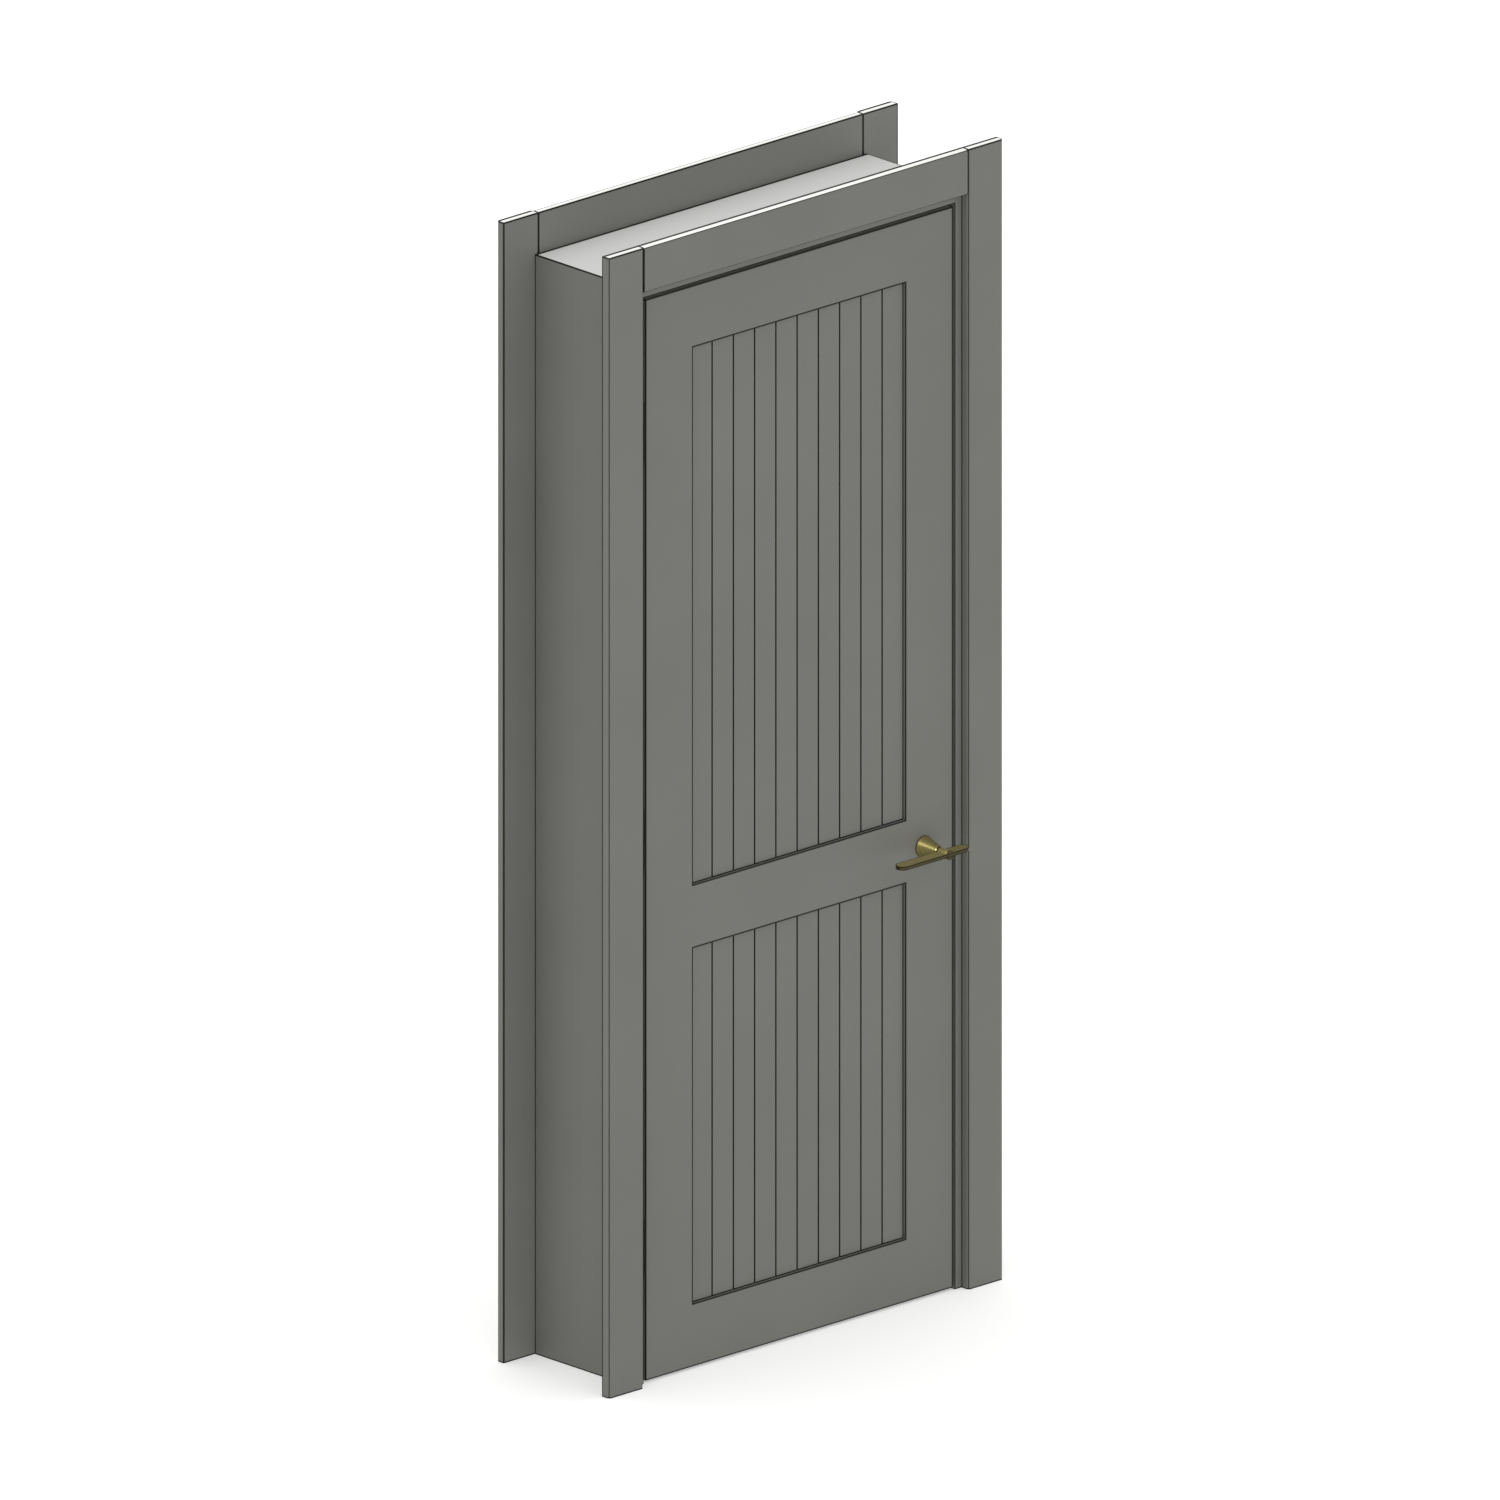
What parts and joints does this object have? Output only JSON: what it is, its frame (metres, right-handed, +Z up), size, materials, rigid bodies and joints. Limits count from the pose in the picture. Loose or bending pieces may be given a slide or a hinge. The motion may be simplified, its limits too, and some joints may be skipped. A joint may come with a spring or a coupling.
{
  "type": "interior door set",
  "caption": "Grey-lacquered interior door: boarded two-panel leaf with a brass lever, in a deep lining with plain casings.",
  "frame": {"origin": "on the outer face of the hinge-side lining, at the middle of the wall's thickness, at floor level", "axes": "+X along the wall towards the lock side, +Y through the wall from the side the leaf opens to, +Z up"},
  "size_m": [0.95, 0.336, 2.105],
  "materials": {
    "lining_lacquer": "satin sprayed lacquer on MDF board",
    "casing_lacquer": "satin sprayed lacquer on MDF moulding",
    "leaf_lacquer": "satin sprayed lacquer on the leaf's frame",
    "panel_lacquer": "satin sprayed lacquer on grooved boards",
    "handle_brass": "satin brass, muted",
    "plate_brass": "brushed brass plate",
    "hinge_steel": "satin zinc",
    "lock_steel": "satin steel",
    "seal_rubber": "matt extruded rubber"
  },
  "bodies": {
    "frame": {"back_casing_head": "casing_lacquer", "back_casing_left": "casing_lacquer", "back_casing_right": "casing_lacquer", "front_casing_head": "casing_lacquer", "front_casing_left": "casing_lacquer", "front_casing_right": "casing_lacquer", "hinge_frame_case_bottom": "hinge_steel", "hinge_frame_case_middle": "hinge_steel", "hinge_frame_case_top": "hinge_steel", "lining_head": "lining_lacquer", "lining_left": "lining_lacquer", "lining_right": "lining_lacquer", "seal_head": "seal_rubber", "seal_left": "seal_rubber", "seal_right": "seal_rubber", "stop_head": "lining_lacquer", "stop_left": "lining_lacquer", "stop_right": "lining_lacquer", "strike_plate": "plate_brass"},
    "door_leaf": {"back_rose": "handle_brass", "bottom_rail": "leaf_lacquer", "front_rose": "handle_brass", "hinge_leaf_case_bottom": "hinge_steel", "hinge_leaf_case_middle": "hinge_steel", "hinge_leaf_case_top": "hinge_steel", "hinge_stile": "leaf_lacquer", "latch_bolt": "lock_steel", "latch_plate": "plate_brass", "lock_rail": "leaf_lacquer", "lock_stile": "leaf_lacquer", "lower_panel": "panel_lacquer", "top_rail": "leaf_lacquer", "upper_panel": "panel_lacquer"},
    "hinge_links": {"hinge_link_bottom": "hinge_steel", "hinge_link_middle": "hinge_steel", "hinge_link_top": "hinge_steel"},
    "lever_handle": {"front_lever": "handle_brass", "back_lever": "handle_brass", "spindle": "lock_steel"}
  },
  "joints": [
    {"name": "leaf_swing", "type": "hinge", "parent": "frame", "child": "door_leaf", "pos_m": [0.0275, -0.1265, 1.0025], "axis": [0, 0, -1], "range_deg": [0, 100]},
    {"name": "links_swing", "type": "hinge", "parent": "frame", "child": "hinge_links", "pos_m": [0.0275, -0.1265, 1.0025], "axis": [0, 0, -1], "range_deg": [0, 50]},
    {"name": "lever_turn", "type": "hinge", "parent": "door_leaf", "child": "lever_handle", "pos_m": [0.7, -0.105, 0.8355], "axis": [0, -1, 0], "range_deg": [0, 40], "stiffness_Nm_per_rad": 1.5, "springref_deg": -28.65}
  ],
  "couplings": [
    {"joint": "links_swing", "follows": "leaf_swing", "ratio": 0.5}
  ]
}
